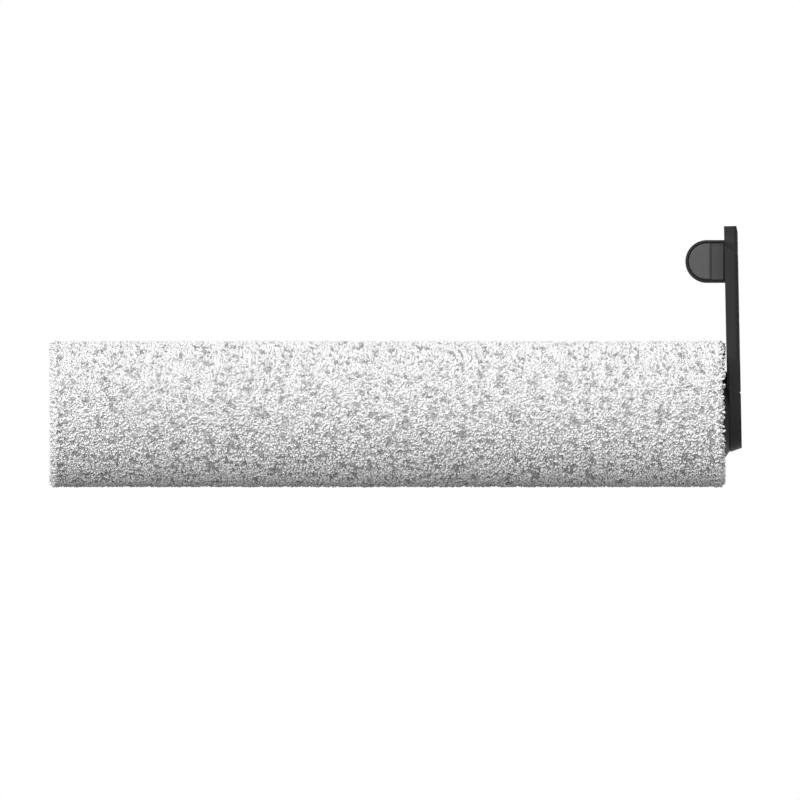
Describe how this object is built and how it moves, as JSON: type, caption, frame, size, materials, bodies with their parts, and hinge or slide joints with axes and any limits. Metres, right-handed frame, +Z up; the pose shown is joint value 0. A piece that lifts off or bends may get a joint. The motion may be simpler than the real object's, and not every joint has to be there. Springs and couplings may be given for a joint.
{
  "type": "vacuum roller brush",
  "caption": "Pile-covered floor roller on a ball bearing, carried by a black end bracket with an upright arm and a pull tab, with a splined drive socket in its other end.",
  "frame": {"origin": "on the roller's axis at the mouth of the drive socket's wall", "axes": "+X along the roller's axis from the drive end to the bracket, +Z up the bracket's arm"},
  "size_m": [0.2449, 0.052, 0.0926],
  "materials": {
    "pile": "matte",
    "tube_abs": "satin",
    "plug_pom": "satin",
    "bracket_abs": "satin",
    "grip_tpe": "matte",
    "seal_rubber": "satin",
    "felt": "matte",
    "nylon": "satin",
    "bearing_steel": "polished",
    "ground_steel": "satin",
    "spring_steel": "satin",
    "zinc_plated_steel": "satin"
  },
  "bodies": {
    "bracket": {"end_bracket": "bracket_abs", "outer_cover": "bracket_abs", "tab_grip": "grip_tpe", "axle": "zinc_plated_steel", "axle_spacer": "ground_steel", "bearing_inner_ring": "bearing_steel", "axle_washer": "zinc_plated_steel", "lock_nut": "zinc_plated_steel", "lock_nut_insert": "nylon", "felt_ring": "felt"},
    "roller": {"core_tube": "tube_abs", "pile_cover": "pile", "drive_plug": "plug_pom", "drive_plug_o_ring": "seal_rubber", "bearing_plug": "plug_pom", "bearing_plug_o_ring": "seal_rubber", "bearing_outer_ring": "bearing_steel", "bearing_shield_inboard": "bearing_steel", "bearing_shield_outboard": "bearing_steel", "bearing_circlip": "spring_steel", "lip_seal": "seal_rubber", "lip_seal_spring": "spring_steel"},
    "ball_cage": {"bearing_balls": "bearing_steel", "bearing_cage": "nylon"}
  },
  "joints": [
    {"name": "roller_spin", "type": "hinge", "parent": "bracket", "child": "roller", "pos_m": [0.225, 0, 0], "axis": [1, 0, 0], "continuous": true},
    {"name": "cage_spin", "type": "hinge", "parent": "bracket", "child": "ball_cage", "pos_m": [0.225, 0, 0], "axis": [1, 0, 0], "continuous": true}
  ],
  "couplings": [
    {"joint": "cage_spin", "follows": "roller_spin", "ratio": 0.6323}
  ]
}
